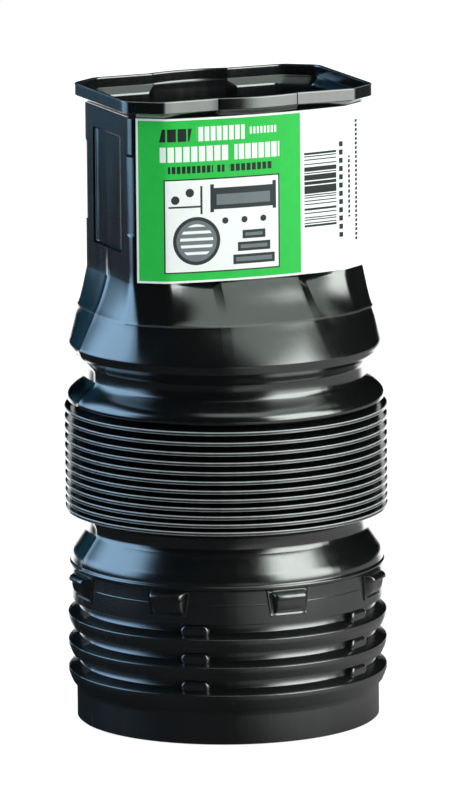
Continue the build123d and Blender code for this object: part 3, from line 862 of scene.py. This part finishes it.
place = tree.nodes.new("ShaderNodeTexCoord").outputs["Object"]


def measured(tree, place, direction):
    """How far a place is along a direction, in metres."""
    node = tree.nodes.new("ShaderNodeVectorMath")
    node.operation = "DOT_PRODUCT"
    node.inputs[1].default_value = direction
    tree.links.new(place, node.inputs[0])
    return node.outputs["Value"]


def glowing(tree, strength):
    """White light of a strength."""
    node = tree.nodes.new("ShaderNodeEmission")
    tree.links.new(strength, node.inputs["Strength"])
    return node.outputs["Emission"]


def blended(tree, share, first, second):
    """One surface that gives way to a second one as a share goes from 0 to 1."""
    node = tree.nodes.new("ShaderNodeMixShader")
    for socket, value in (("Fac", share), (1, first), (2, second)):
        tree.links.new(value, node.inputs[socket])
    return node.outputs["Shader"]


depth = measured(tree, place, behind)
sideways = measured(tree, place, camera_right)
slant = reckon(tree, "DIVIDE", reckon(tree, "ABSOLUTE", sideways), depth)
straight_behind = graded(tree, slant, start=0.6, stop=0.84, low=GLOW_BEHIND, high=0.0)
beyond_part = graded(tree, depth, start=0.0, stop=0.1, low=0.0, high=1.0)
far_side = reckon(tree, "MULTIPLY", straight_behind, beyond_part)
right_side = graded(tree, sideways, start=0.005, stop=0.09, low=GLOW_ELSEWHERE, high=GLOW_RIGHT)
mirrored = glowing(tree, reckon(tree, "MAXIMUM", far_side, right_side))
seen = glowing(tree, graded(tree, depth, start=0.15, stop=0.5, low=SEEN_GLOW_NEAR, high=SEEN_GLOW_FAR))
seen_straight = reckon(tree, "MAXIMUM", ray["Is Camera Ray"], ray["Is Transmission Ray"])
lit = blended(tree, reckon(tree, "MULTIPLY", seen_straight, SEEN_SHARE), shader.outputs["BSDF"], seen)
surface = blended(tree, reckon(tree, "MULTIPLY", ray["Is Glossy Ray"], MIRRORED_SHARE), lit, mirrored)
tree.links.new(surface, tree.nodes["Material Output"].inputs["Surface"])
table_top.data.materials.append(white)


# The lights: a tall white softbox to the right of the camera, a tall cool one far to the left
# with a dim fill beside it, and a dim one overhead. All of them fade out towards their edges.
SOFTBOX_DISTANCE = 1.3
SOFTBOX_FOOT = -20.0
OVERHEAD_DISTANCE = 1.2
OVERHEAD_WIDTH = 1.5
OVERHEAD_AIM = Vector((0.0, 0.0, 0.15))


def softbox(name, middle, facing, width, tall, strength, colour, fade):
    """A soft area light. strength is its radiance in its middle, and fade the share that fades."""
    lamp = bpy.data.lights.new(name, "AREA")
    lamp.shape = "RECTANGLE"
    lamp.size = width
    lamp.size_y = tall
    lamp.color = colour
    lamp.energy = strength * math.pi * width * tall
    lamp.use_nodes = True
    tree = lamp.node_tree
    parts = tree.nodes.new("ShaderNodeSeparateXYZ")
    tree.links.new(tree.nodes.new("ShaderNodeNewGeometry").outputs["Parametric"], parts.inputs["Vector"])
    fades = []
    for axis in ("X", "Y"):
        off_middle = reckon(tree, "ABSOLUTE", reckon(tree, "SUBTRACT", parts.outputs[axis], 0.5))
        fades.append(graded(tree, off_middle, 0.5 - fade, 0.5, 1.0, 0.0, "SMOOTHSTEP"))
    tree.links.new(reckon(tree, "MULTIPLY", *fades), tree.nodes["Emission"].inputs["Strength"])
    light = bpy.data.objects.new(name, lamp)
    light.visible_camera = False
    scene.collection.objects.link(light)
    light.location = middle
    light.rotation_mode = "QUATERNION"
    light.rotation_quaternion = facing.to_track_quat("-Z", "Y")


def upright_softbox(name, bearing, spread, top, strength, colour, fade):
    """A softbox standing round the part. Angles are in degrees, bearing to the camera's right."""
    angle = swing + math.radians(bearing)
    outward = Vector((math.sin(angle), -math.cos(angle), 0.0))
    foot_height = SOFTBOX_DISTANCE * math.tan(math.radians(SOFTBOX_FOOT))
    top_height = SOFTBOX_DISTANCE * math.tan(math.radians(top))
    middle = outward * SOFTBOX_DISTANCE + Vector((0.0, 0.0, aim.z + (foot_height + top_height) / 2))
    width = 2 * SOFTBOX_DISTANCE * math.tan(math.radians(spread))
    softbox(name, middle, -outward, width, top_height - foot_height, strength, colour, fade)


upright_softbox("right_softbox", bearing=61.0, spread=32.0, top=58.0, strength=4.4,
                colour=(0.94, 1.0, 0.95), fade=0.28)
upright_softbox("left_softbox", bearing=-98.0, spread=38.0, top=50.0, strength=2.9,
                colour=(0.42, 0.70, 1.0), fade=0.32)
upright_softbox("left_fill", bearing=-140.0, spread=16.0, top=40.0, strength=0.12,
                colour=(0.08, 0.60, 1.0), fade=0.3)
overhead = (Vector((0.0, 0.0, 1.0)) - behind * 0.03 + camera_right * 0.30).normalized()
softbox("top_softbox", OVERHEAD_AIM + overhead * OVERHEAD_DISTANCE, -overhead, width=OVERHEAD_WIDTH,
        tall=OVERHEAD_WIDTH, strength=0.82, colour=(0.86, 1.0, 0.90), fade=0.25)

# The room: white to the camera and through clear things, dark where it is mirrored, and dim on
# matt surfaces, where it fills the shadows a little.
ROOM_FILL = 0.26
room = bpy.data.worlds.new("room")
scene.world = room
room.use_nodes = True
tree = room.node_tree
ray = tree.nodes.new("ShaderNodeLightPath").outputs
seen_straight = reckon(tree, "MAXIMUM", ray["Is Camera Ray"], ray["Is Transmission Ray"])
fill = reckon(tree, "MULTIPLY", ray["Is Diffuse Ray"], ROOM_FILL)
ambient = tree.nodes["Background"]
ambient.inputs["Color"].default_value = (1.0, 1.0, 1.0, 1.0)
tree.links.new(reckon(tree, "MAXIMUM", seen_straight, fill), ambient.inputs["Strength"])
scene.view_settings.view_transform = "Standard"
